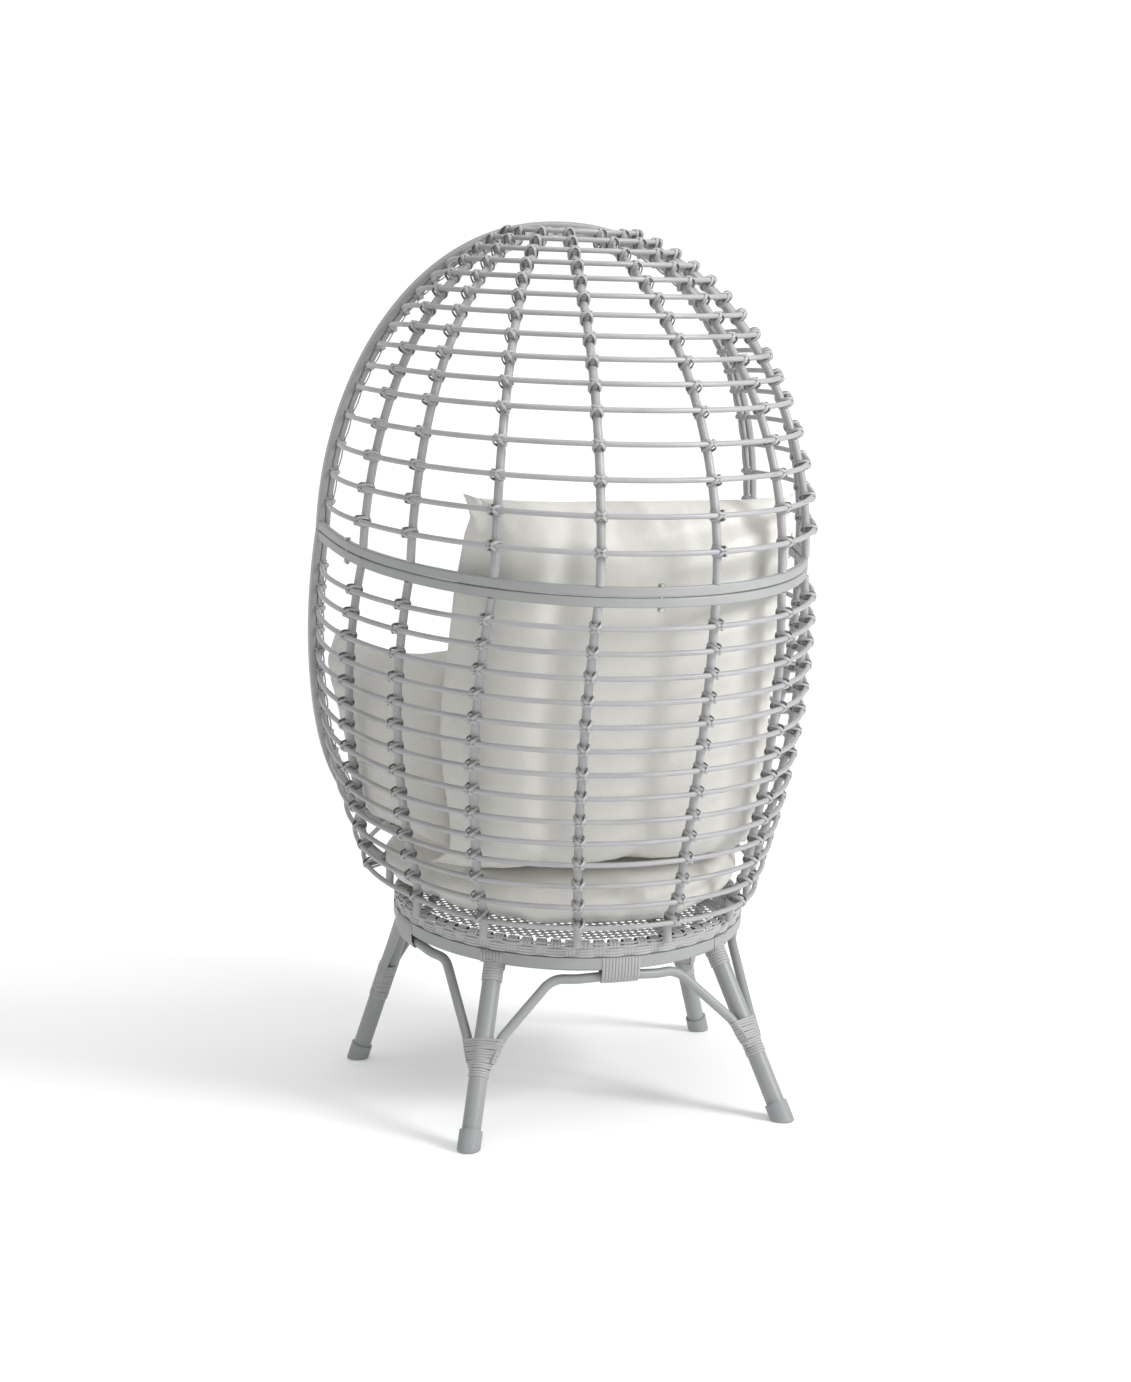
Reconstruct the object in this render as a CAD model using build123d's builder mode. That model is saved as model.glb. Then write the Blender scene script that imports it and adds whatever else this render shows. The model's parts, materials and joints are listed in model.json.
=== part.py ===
from build123d import *
from math import cos, degrees, radians, sin, sqrt
import os

os.makedirs("parts", exist_ok=True)

# Free-standing rattan egg chair on four splayed legs. Millimetres, +Z up, floor at Z = 0.
# The origin lies on the floor under the middle of the chair's outline. The sitter looks
# towards -Y.
# The whole basket leans back a little. Its own frame has u along X, v to the rear and w up
# along the leaning axis, with w = 0 on the joint between the base ring and the woven band.

LEAN = 6.5
RING_HEIGHT = 321.0
RING_Y = -89.5
MID_W = 622.0
TOP_W = 1168.0
BOTTOM_W = 7.0

# Basket surface: half width, rear depth and widest line, all measured in the basket frame.
MID_HALF_WIDTH = 410.0
MID_REAR = 429.0
BASE_REAR = 316.0
TOP_REAR = -147.0
OPENING_V = -309.0
OPENING_SLOPE = 0.138
WIDEST_SHIFT_MID = 94.0
WIDEST_SHIFT_BASE = 28.0
ROUNDNESS_MID = 2.07
ROUNDNESS_BASE = 2.72

# Front hoop and the thinner rod inside it that the canes end on.
HOOP_SETBACK = -14.0
HOOP_WIDTH = 12.0
HOOP_DEPTH = 24.0
HOOP_EDGE = 4.0
HOOP_BOTTOM_POWER = 9.0
ROD_R = 5.0
ROD_BEHIND = 7.0
CLEAR = 0.3

# Split ring half-way up: two bars bolted face to face, a little lower at the rear.
SPLIT_W = 624.6
SPLIT_TILT = 1.1
HOOP_SPLIT_W = 629.2
BAR_HEIGHT = 15.5
BAR_WIDTH = 10.0
BAR_GAP = 1.6
BAR_EDGE = 2.5
BAR_END_GAP = 2.5

# Ribs stand inside the canes.
RIB_R = 7.0
CANE_R = 4.25
RIB_ANGLES = (12.9, 35.5, 56.4, 72.6)
RIB_DRIFTS = (-4.8, -1.0, 0.0, 5.8)
RIB_LANDINGS = (14.3, 43.1, 70.7, 104.0)
RIB_TOP_PITCH = 17.0
RIB_IN = RIB_R + 1.0
CANE_OUT = CANE_R + 0.8
RIB_TOP_STOPS = (76, 76, 70, 62)

# Cane heights: steps below the split ring that tighten near the base, and steps along the
# dome above it, in degrees, that are wider for the first few canes.
LOWER_CANES = 14
LOWER_CANE_TOP = 568.5
LOWER_CANE_STEP = 39.9
LOWER_CANE_TIGHTER = 2.7
LOWER_WIDE_CANES = 8
UPPER_CANES = 15
UPPER_CANE_FIRST = 6.5
UPPER_CANE_WIDE_STEP = 5.7
UPPER_CANE_STEP = 4.55
UPPER_WIDE_CANES = 4

# Seat ring: smooth base ring below, woven band above, cane sheet inside the band.
RING_R = 306.0
RING_INNER_R = 280.0
RING_TALL = 22.0
BAND_INNER_R = 284.0
BAND_TALL = 34.0
SEAT_R = 283.8
SEAT_W = 24.0
SEAT_THICK = 5.0

# The basket clears the band by a rib's thickness where the ribs land on it.
LANDING_R = RING_R + RIB_R + 0.8
BASE_REACH = LANDING_R + RIB_IN

# Legs: angle from the rear of each top and foot, foot radius. Braces arch from leg to leg.
LEG_ANGLES = (41.0, -41.0, -124.6, 124.6)
FOOT_ANGLES = (38.2, -38.2, -124.6, 124.6)
LEG_NAMES = ("rear_left", "rear_right", "front_right", "front_left")
FOOT_RADII = (436.0, 436.0, 406.0, 406.0)
LEG_R = 15.5
LEG_TOP_RADIUS = 293.0
CAP_R = 19.0
CAP_TALL = 28.0
CAP_EDGE = 3.0
BRACE_R = 8.0
BRACE_LOW = 0.45
BRACE_SPREAD = 4.3
BRACE_KNEE_TURN = 19.5
BRACE_KNEE_SAG = 4.5
BRACE_RUN_SAG = 4.0
BRACE_CLEAR = 6.2
BRACE_MITRE = (36.0, 14.0)
MITRE_LOW = 0.38
KNEE_BEND = 42.0
GENTLE_BEND = 60.0
TIE_WIDE = 12.7
FAN_LOW = 0.42
FAN_HIGH = 0.575
WRAP = 3.0

# Bolts through the split ring.
BOLT_R = 3.0
BOLT_HOLE_R = 3.1
BOLT_HEAD_R = 5.8
BOLT_HEAD_TALL = 4.0
BOLT_TAIL = 3.0
NUT_TALL = 5.0
SIDE_BOLT_ANGLE = 80.0

# Cushions: half widths, depths and heights of the loose cushions.
SEAT_CUSHION_R = 292.0
SEAT_CUSHION_TALL = 92.0
SEAT_CUSHION_EDGE = 42.0
BACK_W = 152.0
BACK_TALL = 605.0
BACK_LEAN = 0.12
BACK_HALF = 280.0
BACK_EDGE = 24.0
PAD_W = 202.0
PAD_TALL = 290.0
PAD_LEAN = 0.155
PAD_EDGE = 24.0

basket = Plane(
    origin=(0, RING_Y, RING_HEIGHT),
    x_dir=(1, 0, 0),
    z_dir=(0, sin(radians(LEAN)), cos(radians(LEAN))),
)
hoop_face = Plane(
    origin=basket.from_local_coords(Vector(0, OPENING_V + HOOP_SETBACK, 0)),
    x_dir=(1, 0, 0),
    z_dir=basket.from_local_coords(Vector(0, -1, OPENING_SLOPE)) - basket.origin,
)
split_face = Plane(
    origin=basket.from_local_coords(Vector(0, 0, SPLIT_W)),
    x_dir=(1, 0, 0),
    z_dir=(0, sin(radians(LEAN + SPLIT_TILT)), cos(radians(LEAN + SPLIT_TILT))),
)
HOOP_STRETCH = sqrt(1 + OPENING_SLOPE**2)


def at(u, v, w):
    """Point of the basket frame in the chair's frame."""
    return basket.from_local_coords(Vector(u, v, w))


def power(value, exponent):
    """Signed power, for superellipses."""
    return abs(value) ** exponent * (1 if value >= 0 else -1)


def rise(w):
    """How far w has climbed from the split ring to the top, 0 to 1."""
    return min(max((w - MID_W) / (TOP_W - MID_W), 0), 0.9999)


def drop(w):
    """How far w has fallen from the split ring to the base, 0 to 1."""
    return max(1 - w / MID_W, 0)


def half_width(w):
    """Widest half width of the basket at height w."""
    s = rise(w)
    q = drop(w)
    return MID_HALF_WIDTH * (1 - s * s) ** 0.46 + 75 * q - 163 * q * q


def rear(w):
    """Rearmost v of the basket at height w."""
    if w < MID_W:
        return MID_REAR - (MID_REAR - BASE_REAR) * drop(w)
    return TOP_REAR + (MID_REAR - TOP_REAR) * (1 - rise(w) ** 2) ** 0.59


def widest(w):
    """v of the basket's widest line at height w."""
    shift = WIDEST_SHIFT_MID * sqrt(1 - rise(w) ** 2)
    shift -= (WIDEST_SHIFT_MID - WIDEST_SHIFT_BASE) * drop(w)
    return OPENING_V + OPENING_SLOPE * w + shift


def surface(angle, w):
    """Basket surface at an angle from the rear, towards +u."""
    m = 2 / (ROUNDNESS_MID + (ROUNDNESS_BASE - ROUNDNESS_MID) * drop(w))
    a = radians(angle)
    u = half_width(w) * power(sin(a), m)
    v = widest(w) + (rear(w) - widest(w)) * power(cos(a), m)
    reach = sqrt(u * u + v * v)
    if w < MID_W / 2 and reach < BASE_REACH:
        u *= BASE_REACH / reach
        v *= BASE_REACH / reach
    return Vector(u, v, w)


def shell(angle, w, out):
    """Point that stands out from the basket surface by the given distance."""
    side = 1 if angle >= 0 else -1
    a = max(abs(angle), 0.5)
    along = surface(a + 0.3, w) - surface(a - 0.3, w)
    up = surface(a, w + 0.5) - surface(a, w - 0.5)
    normal = up.cross(along).normalized()
    p = surface(a, w) + normal * out
    return at(side * p.X, p.Y, p.Z)


def hoop_width(w):
    """Half width of the hoop's outer edge at height w."""
    q = min((MID_W - w) / (MID_W - BOTTOM_W), 1)
    if q <= 0:
        return half_width(w)
    return half_width(w) * (1 - q**HOOP_BOTTOM_POWER) ** 0.4545


def rim(side, w, inset):
    """Point in the hoop's plane, inset from its outer edge at height w."""
    step = 0.25
    du = hoop_width(w + step) - hoop_width(w - step)
    dy = 2 * step * HOOP_STRETCH
    size = sqrt(du * du + dy * dy)
    u = hoop_width(w) - inset * dy / size
    y = w * HOOP_STRETCH + inset * du / size
    return (side * u, y)


def upper_outline(inset):
    """Half circle-like outline over the top, from the +u end to the -u end."""
    heights = [MID_W + (TOP_W - MID_W) * sin(radians(t)) for t in (0, 14, 28, 42, 56, 68, 78)]
    heights[0] = HOOP_SPLIT_W + BAR_GAP / 2
    left = [rim(1, w, inset) for w in heights]
    right = [(-x, y) for x, y in reversed(left)]
    return left + [(0, TOP_W * HOOP_STRETCH - inset)] + right


def lower_outline(inset):
    """U under the seat ring, from the +u end to the -u end."""
    falls = [0.2, 0.4] + [sin(radians(t)) ** (2 / HOOP_BOTTOM_POWER) for t in (5, 12, 22, 34, 48, 62, 76)]
    heights = [HOOP_SPLIT_W - BAR_GAP / 2] + [MID_W - (MID_W - BOTTOM_W) * q for q in falls]
    left = [rim(1, w, inset) for w in heights]
    right = [(-x, y) for x, y in reversed(left)]
    return left + [(0, BOTTOM_W * HOOP_STRETCH + inset)] + right


def save(piece, name):
    """Label one finished piece and write it out."""
    piece.part.label = name
    export_step(piece.part, f"parts/{name}.step")


def round_bar(points, radius):
    """Round bar along a smooth line through the points."""
    with BuildPart() as bar:
        with BuildLine() as path:
            Spline(*points)
        with BuildSketch(Plane(origin=path.line @ 0, z_dir=path.line % 0)):
            Circle(radius)
        sweep()
    return bar


def hoop_half(name, outline):
    """Half of the front hoop: a flat oval tube bent in one plane."""
    with BuildPart() as hoop:
        with BuildLine(hoop_face) as path:
            Spline(*outline(HOOP_WIDTH / 2))
        start = Plane(origin=path.line @ 0, x_dir=hoop_face.z_dir, z_dir=path.line % 0)
        with BuildSketch(start):
            RectangleRounded(HOOP_DEPTH, HOOP_WIDTH, HOOP_EDGE)
        sweep()
    save(hoop, name)


def rim_rod(name, outline):
    """Thin rod beside the hoop's inner edge."""
    plane = hoop_face.offset(-ROD_BEHIND)
    inset = HOOP_WIDTH + CLEAR + ROD_R
    with BuildPart() as rod:
        with BuildLine(plane) as path:
            Spline(*outline(inset))
        with BuildSketch(Plane(origin=path.line @ 0, z_dir=path.line % 0)):
            Circle(ROD_R)
        sweep()
    save(rod, name)


def bar_axis(angle):
    """Centre line of the split ring's bars, seen from above."""
    p = surface(abs(angle), MID_W)
    q = surface(abs(angle) + 0.3, MID_W)
    along = (q - p).normalized()
    inner = Vector(-along.Y, along.X, 0) * -1
    if inner.dot(Vector(p.X, p.Y - widest(MID_W), 0)) > 0:
        inner = inner * -1
    c = p + inner * RIB_IN
    return (c.X if angle >= 0 else -c.X, c.Y)


def split_bar(name, low):
    """One bar of the split ring, with its bolt holes, low being its underside."""
    end = rim(1, MID_W, HOOP_WIDTH / 2)[0]
    end_w = HOOP_SPLIT_W + low + BAR_HEIGHT / 2
    end_v = OPENING_V + HOOP_SETBACK + OPENING_SLOPE * end_w + HOOP_DEPTH / 2 + BAR_END_GAP
    side = [(end, end_v)] + [bar_axis(t) for t in (90, 72.6, 56.4, 35.5, 12.9)]
    points = side + [(-x, y) for x, y in reversed(side)]
    with BuildPart() as bar:
        with BuildLine(split_face.offset(low + BAR_HEIGHT / 2)) as path:
            Spline(*points)
        with BuildSketch(Plane(origin=path.line @ 0, x_dir=split_face.z_dir, z_dir=path.line % 0)):
            RectangleRounded(BAR_HEIGHT, BAR_WIDTH, BAR_EDGE)
        sweep()
        with BuildSketch(split_face.offset(low)):
            with Locations(*bolt_spots()):
                Circle(BOLT_HOLE_R)
        extrude(amount=BAR_HEIGHT, mode=Mode.SUBTRACT)
    save(bar, name)


def bolt_spots():
    """Where the three bolts pass through the split ring."""
    x, y = bar_axis(SIDE_BOLT_ANGLE)
    return [(x, y), (-x, y), (0, bar_axis(0.5)[1])]


def joint_hardware():
    """Hex bolts with their nuts, clamping the two bars."""
    top = BAR_GAP / 2 + BAR_HEIGHT
    with BuildPart() as bolts:
        with BuildSketch(split_face.offset(top)):
            with Locations(*bolt_spots()):
                RegularPolygon(BOLT_HEAD_R, 6)
        extrude(amount=BOLT_HEAD_TALL)
        with BuildSketch(split_face.offset(-top - NUT_TALL - BOLT_TAIL)):
            with Locations(*bolt_spots()):
                Circle(BOLT_R)
        extrude(amount=2 * top + NUT_TALL + BOLT_TAIL)
    save(bolts, "joint_bolts")
    with BuildPart() as nuts:
        with BuildSketch(split_face.offset(-top - NUT_TALL)):
            with Locations(*bolt_spots()):
                RegularPolygon(BOLT_HEAD_R, 6)
                Circle(BOLT_HOLE_R, mode=Mode.SUBTRACT)
        extrude(amount=NUT_TALL)
    save(nuts, "joint_nuts")


def cut_rib(points, keep, height):
    """Rib trimmed flush with the face of a split-ring bar at that height over the split."""
    with BuildPart() as rib:
        with BuildLine() as path:
            Spline(*points)
        with BuildSketch(Plane(origin=path.line @ 0, z_dir=path.line % 0)):
            Circle(RIB_R)
        sweep()
        split(bisect_by=split_face.offset(height), keep=keep)
    return rib


def upper_rib(index, side):
    """Rib from the split ring over the dome to the top of the rim rod."""
    angle = side * RIB_ANGLES[index]
    u, v = bar_axis(RIB_ANGLES[index])
    points = [at(side * u, v, MID_W)]
    for t in (12, 25, 38, 50, 62, 70, 76):
        if t <= RIB_TOP_STOPS[index]:
            points.append(shell(angle, MID_W + (TOP_W - MID_W) * sin(radians(t)), -RIB_IN))
    end_u = side * RIB_TOP_PITCH * (index + 0.5)
    end_w = TOP_W - (HOOP_WIDTH + CLEAR + ROD_R) - 0.0009 * end_u**2
    end_v = OPENING_V + HOOP_SETBACK + OPENING_SLOPE * end_w + ROD_BEHIND + ROD_R + 3.0
    points.append(at(end_u, end_v, end_w))
    return cut_rib(points, Keep.TOP, BAR_GAP / 2 + BAR_HEIGHT)


def lower_rib(index, side):
    """Rib from the split ring down to the outside of the woven band."""
    u, v = bar_axis(RIB_ANGLES[index])
    points = [at(side * u, v, MID_W)]
    for w in (520, 430, 340, 250, 165, 95):
        angle = RIB_ANGLES[index] + RIB_DRIFTS[index] * drop(w)
        points.append(shell(side * angle, w, -RIB_IN))
    a = radians(RIB_LANDINGS[index])
    for w in (52, 38, 23):
        points.append(at(side * LANDING_R * sin(a), LANDING_R * cos(a), w))
    return cut_rib(points, Keep.BOTTOM, -BAR_GAP / 2 - BAR_HEIGHT)


def ribs():
    """Four ribs on each side of each half, none in the middle."""
    for side, word in ((1, "left"), (-1, "right")):
        for index in range(len(RIB_ANGLES)):
            save(upper_rib(index, side), f"upper_rib_{word}_{index + 1}")
            save(lower_rib(index, side), f"lower_rib_{word}_{index + 1}")


def cane_height(index, upper):
    """Height of one cane, counted away from the split ring."""
    if upper:
        wide = min(index, UPPER_WIDE_CANES)
        t = UPPER_CANE_FIRST + UPPER_CANE_WIDE_STEP * wide + UPPER_CANE_STEP * (index - wide)
        return MID_W + (TOP_W - MID_W) * sin(radians(t))
    tighter = LOWER_CANE_TIGHTER * max(index - LOWER_WIDE_CANES, 0)
    return LOWER_CANE_TOP - LOWER_CANE_STEP * index + tighter


def cane_end(side, w):
    """Where a cane stops, against the rear of the rim rod."""
    x, y = rim(side, w, HOOP_WIDTH + 2)
    spot = hoop_face.offset(-(ROD_BEHIND + ROD_R + CANE_R + 0.8))
    return spot.from_local_coords(Vector(x, y, 0))


def cane(w):
    """Cane from rim rod to rim rod round the rear, outside the ribs."""
    left = [cane_end(1, w)]
    for index in reversed(range(len(RIB_ANGLES))):
        angle = RIB_ANGLES[index]
        if w < MID_W:
            angle += RIB_DRIFTS[index] * drop(w)
        left.append(shell(angle, w, CANE_OUT))
    right = [Vector(-p.X, p.Y, p.Z) for p in reversed(left)]
    return round_bar(left + right, CANE_R)


def cane_group(name, upper, numbers):
    """Neighbouring canes, each a separate solid."""
    group = Compound(label=name, children=[cane(cane_height(i, upper)).part for i in numbers])
    export_step(group, f"parts/{name}.step")


def seat_ring():
    """Smooth base ring, woven band and cane sheet."""
    with BuildPart() as ring:
        with BuildSketch(basket.offset(-RING_TALL)):
            Circle(RING_R)
            Circle(RING_INNER_R, mode=Mode.SUBTRACT)
        extrude(amount=RING_TALL)
        fillet(ring.faces().sort_by(Axis((0, 0, 0), basket.z_dir))[0].edges(), 4)
    save(ring, "base_ring")
    with BuildPart() as band:
        with BuildSketch(basket):
            Circle(RING_R)
            Circle(BAND_INNER_R, mode=Mode.SUBTRACT)
        extrude(amount=BAND_TALL)
        fillet(band.faces().sort_by(Axis((0, 0, 0), basket.z_dir))[-1].edges(), 5)
    save(band, "woven_band")
    with BuildPart() as sheet:
        with BuildSketch(basket.offset(SEAT_W)):
            Circle(SEAT_R)
        extrude(amount=SEAT_THICK)
    save(sheet, "cane_seat")


def leg_axis(number):
    """Foot centre on the floor and leg top on the base ring's underside."""
    a, b = radians(LEG_ANGLES[number]), radians(FOOT_ANGLES[number])
    foot = Vector(FOOT_RADII[number] * sin(b), RING_Y + FOOT_RADII[number] * cos(b), 0)
    top = at(LEG_TOP_RADIUS * sin(a), LEG_TOP_RADIUS * cos(a), -RING_TALL)
    return foot, top, (top - foot).normalized()


def leg(number):
    """Leg tube, cut flush with the underside of the base ring, and its foot cap."""
    foot, top, way = leg_axis(number)
    length = (top - foot).length
    cap_top = CAP_TALL / way.Z
    with BuildPart() as tube:
        with BuildSketch(Plane(origin=foot + way * cap_top, z_dir=way)):
            Circle(LEG_R)
        extrude(amount=length - cap_top + 40)
        split(bisect_by=basket.offset(-RING_TALL), keep=Keep.BOTTOM)
    save(tube, f"leg_{LEG_NAMES[number]}")
    with BuildPart() as cap:
        with BuildSketch(Plane(origin=foot - way * 20, z_dir=way)):
            Circle(CAP_R)
        extrude(amount=20 + cap_top)
        split(bisect_by=Plane.XY, keep=Keep.TOP)
        fillet(cap.faces().sort_by(Axis.Z)[0].edges(), CAP_EDGE)
    save(cap, f"foot_cap_{LEG_NAMES[number]}")
    return tube


def brace_side(number, sign):
    """A leg's foot, its whole length as a vector, and the sideways direction of one brace."""
    foot, top, way = leg_axis(number)
    a = radians(LEG_ANGLES[number])
    aside = Vector(cos(a), -sin(a), 0) * sign
    aside = (aside - way * aside.dot(way)).normalized()
    return foot, top - foot, aside


def ring_turn(first):
    """Angle round the base ring from one leg to the next."""
    return (LEG_ANGLES[(first + 1) % 4] - LEG_ANGLES[first] + 180) % 360 - 180


def brace(first):
    """Bent tube from one leg to the next: up beside the leg, out to a knee, along the ring."""
    second = (first + 1) % 4
    turn = ring_turn(first)
    sign = 1 if turn > 0 else -1
    under = -RING_TALL - BRACE_R - BRACE_CLEAR
    half = abs(turn) / 2
    tie_share = (half - TIE_WIDE / 2) / abs(turn)
    knee_share = BRACE_KNEE_TURN / abs(turn)
    middle_share = (tie_share + knee_share) / 2
    stops = ((knee_share, BRACE_KNEE_SAG), (middle_share, BRACE_RUN_SAG), (tie_share, 0.0))
    stops += tuple((1 - share, sag) for share, sag in reversed(stops))
    run = []
    for share, sag in stops:
        a = radians(LEG_ANGLES[first] + turn * share)
        run.append(at(LEG_TOP_RADIUS * sin(a), LEG_TOP_RADIUS * cos(a), under - sag))
    ends = []
    for number, way_round in ((first, sign), (second, -sign)):
        foot, rise_up, aside = brace_side(number, way_round)
        beside = LEG_R + BRACE_R + CLEAR
        ends.append([
            foot + rise_up * BRACE_LOW + aside * beside,
            foot + rise_up * FAN_HIGH + aside * (beside + BRACE_SPREAD),
        ])
    points = ends[0] + run + ends[1][::-1]
    bends = [GENTLE_BEND, KNEE_BEND, 2 * GENTLE_BEND, GENTLE_BEND]
    with BuildPart() as tube:
        with BuildLine() as path:
            FilletPolyline(*points, radius=bends + bends[::-1])
        with BuildSketch(Plane(origin=path.line @ 0, z_dir=path.line % 0)):
            Circle(BRACE_R)
        sweep()
        for number, way_round in ((first, sign), (second, -sign)):
            foot, rise_up, aside = brace_side(number, way_round)
            up = rise_up.normalized()
            high, low = FAN_HIGH * rise_up.length, MITRE_LOW * rise_up.length
            with BuildSketch(Plane(origin=foot, x_dir=aside, z_dir=aside.cross(up))):
                with BuildLine():
                    Polyline(
                        (BRACE_MITRE[0], high),
                        (3 * LEG_R, high),
                        (3 * LEG_R, low),
                        (BRACE_MITRE[1], low),
                        close=True,
                    )
                make_face()
            extrude(amount=LEG_R, both=True, mode=Mode.SUBTRACT)
    return tube


def brace_tie(first):
    """Binding that holds the middle of a brace up to the base ring."""
    middle = LEG_ANGLES[first] + ring_turn(first) / 2
    deep = RING_TALL + 2 * BRACE_R + BRACE_CLEAR + 2 * CLEAR
    a = radians(middle + TIE_WIDE / 2)
    out = at(sin(a), cos(a), 0) - basket.origin
    profile = Plane(origin=basket.origin, x_dir=out, z_dir=out.cross(basket.z_dir))
    across = RING_R - RING_INNER_R + 0.4
    centre = (RING_R + RING_INNER_R) / 2
    with BuildPart() as tie:
        with BuildSketch(profile):
            with Locations((centre, -(deep + WRAP) / 2 - 0.3)):
                Rectangle(across + 2 * WRAP, deep + WRAP)
            with Locations((centre, -deep / 2)):
                Rectangle(across, deep + 1, mode=Mode.SUBTRACT)
        revolve(axis=Axis(basket.origin, basket.z_dir), revolution_arc=TIE_WIDE)
    return tie


def leg_bindings(number, tube, arms):
    """Coil under the ring, and the fan that holds both brace feet to the leg."""
    foot, top, way = leg_axis(number)
    with BuildPart() as coil:
        with BuildSketch(Plane(origin=top - way * 42, z_dir=way)):
            Circle(LEG_R + WRAP)
        extrude(amount=42 + 30)
        split(bisect_by=basket.offset(-RING_TALL), keep=Keep.BOTTOM)
        add(tube.part, mode=Mode.SUBTRACT)
        for arm in arms:
            add(arm.part, mode=Mode.SUBTRACT)
    save(coil, f"top_binding_{LEG_NAMES[number]}")
    a = radians(LEG_ANGLES[number])
    aside = Vector(cos(a), -sin(a), 0)
    low = Plane(origin=foot + (top - foot) * FAN_LOW, x_dir=aside, z_dir=way)
    high = Plane(origin=foot + (top - foot) * FAN_HIGH, x_dir=aside, z_dir=way)
    with BuildPart() as fan:
        with BuildSketch(low):
            RectangleRounded(2 * LEG_R + 2 * WRAP + 26, 2 * LEG_R + 2 * WRAP, 14)
        with BuildSketch(high):
            RectangleRounded(2 * LEG_R + 4 * BRACE_R + 4 * WRAP, 2 * LEG_R + 2 * WRAP, 14)
        loft()
        add(tube.part, mode=Mode.SUBTRACT)
        for arm in arms:
            add(arm.part, mode=Mode.SUBTRACT)
    save(fan, f"fan_binding_{LEG_NAMES[number]}")


def undercarriage():
    """Legs, caps, braces and their bindings."""
    tubes = [leg(number) for number in range(4)]
    arms = []
    for first in range(4):
        arm = brace(first)
        side = ("rear", "right", "front", "left")[first]
        save(arm, f"brace_{side}")
        save(brace_tie(first), f"brace_tie_{side}")
        arms.append(arm)
    for number in range(4):
        leg_bindings(number, tubes[number], (arms[number], arms[number - 1]))


def seat_cushion():
    """Round seat cushion on the cane sheet."""
    with BuildPart() as seat:
        with BuildSketch(basket.offset(SEAT_W + SEAT_THICK + 0.5)):
            Circle(SEAT_CUSHION_R)
        extrude(amount=SEAT_CUSHION_TALL)
        fillet(seat.edges().filter_by(GeomType.CIRCLE), SEAT_CUSHION_EDGE)
    save(seat, "seat_cushion")


def back_cushion():
    """Tall back pillow, curved like the rear of the basket."""
    lean_back = Plane(
        origin=at(0, 0, BACK_W),
        x_dir=(1, 0, 0),
        z_dir=at(0, BACK_LEAN, 1) - basket.origin,
    )
    with BuildPart() as back:
        with BuildSketch(lean_back):
            with BuildLine():
                outer = ThreePointArc((-BACK_HALF, 178), (0, 288), (BACK_HALF, 178))
                Line(outer @ 1, (BACK_HALF, 140))
                ThreePointArc((BACK_HALF, 140), (0, 118), (-BACK_HALF, 140))
                Line((-BACK_HALF, 140), outer @ 0)
            make_face()
        extrude(amount=BACK_TALL)
        fillet(back.edges().group_by(SortBy.LENGTH)[-1], BACK_EDGE)
    save(back, "back_cushion")


def side_cushion(side, word):
    """Pad that leans against the side of the basket."""
    lean_out = Plane(
        origin=at(0, 0, PAD_W),
        x_dir=(1, 0, 0),
        z_dir=at(side * PAD_LEAN, 0, 1) - basket.origin,
    )
    with BuildPart() as pad:
        with BuildSketch(lean_out):
            with BuildLine():
                outer = ThreePointArc((side * 341, -238), (side * 342, -90), (side * 296, 120))
                Line(outer @ 1, (side * 216, 120))
                ThreePointArc((side * 216, 120), (side * 262, -90), (side * 270, -238))
                Line((side * 270, -238), outer @ 0)
            make_face()
        extrude(amount=PAD_TALL)
        fillet(pad.edges().group_by(SortBy.LENGTH)[-1], PAD_EDGE)
    save(pad, f"side_cushion_{word}")


hoop_half("upper_hoop", upper_outline)
hoop_half("lower_hoop", lower_outline)
rim_rod("upper_rim_rod", upper_outline)
rim_rod("lower_rim_rod", lower_outline)
split_bar("upper_split_bar", BAR_GAP / 2)
split_bar("lower_split_bar", -BAR_GAP / 2 - BAR_HEIGHT)
joint_hardware()
ribs()
cane_group("upper_canes_low", True, range(0, 8))
cane_group("upper_canes_high", True, range(8, UPPER_CANES))
cane_group("lower_canes_high", False, range(0, 7))
cane_group("lower_canes_low", False, range(7, LOWER_CANES))
seat_ring()
undercarriage()
seat_cushion()
back_cushion()
side_cushion(1, "left")
side_cushion(-1, "right")
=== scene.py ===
import json
import math

import bpy
import numpy as np
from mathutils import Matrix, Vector


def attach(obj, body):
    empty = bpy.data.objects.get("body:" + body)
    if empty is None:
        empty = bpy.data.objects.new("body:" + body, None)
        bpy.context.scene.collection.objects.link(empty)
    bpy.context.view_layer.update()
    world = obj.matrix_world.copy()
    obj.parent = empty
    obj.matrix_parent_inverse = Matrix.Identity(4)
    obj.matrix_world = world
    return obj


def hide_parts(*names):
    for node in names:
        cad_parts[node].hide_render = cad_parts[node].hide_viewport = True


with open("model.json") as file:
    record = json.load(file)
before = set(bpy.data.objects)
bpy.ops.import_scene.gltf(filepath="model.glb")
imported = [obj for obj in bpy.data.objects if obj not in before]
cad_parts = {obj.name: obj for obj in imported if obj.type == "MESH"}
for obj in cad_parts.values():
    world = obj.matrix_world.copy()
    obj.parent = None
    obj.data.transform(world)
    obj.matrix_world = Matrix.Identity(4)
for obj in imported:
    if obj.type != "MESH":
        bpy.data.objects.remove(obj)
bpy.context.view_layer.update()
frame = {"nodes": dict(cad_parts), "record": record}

# Free-standing rattan egg chair. Lengths in the first sections are millimetres in the
# basket's own leaning frame (u sideways, v to the rear, w up); meshes are in metres.

nodes = frame["nodes"]

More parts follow.
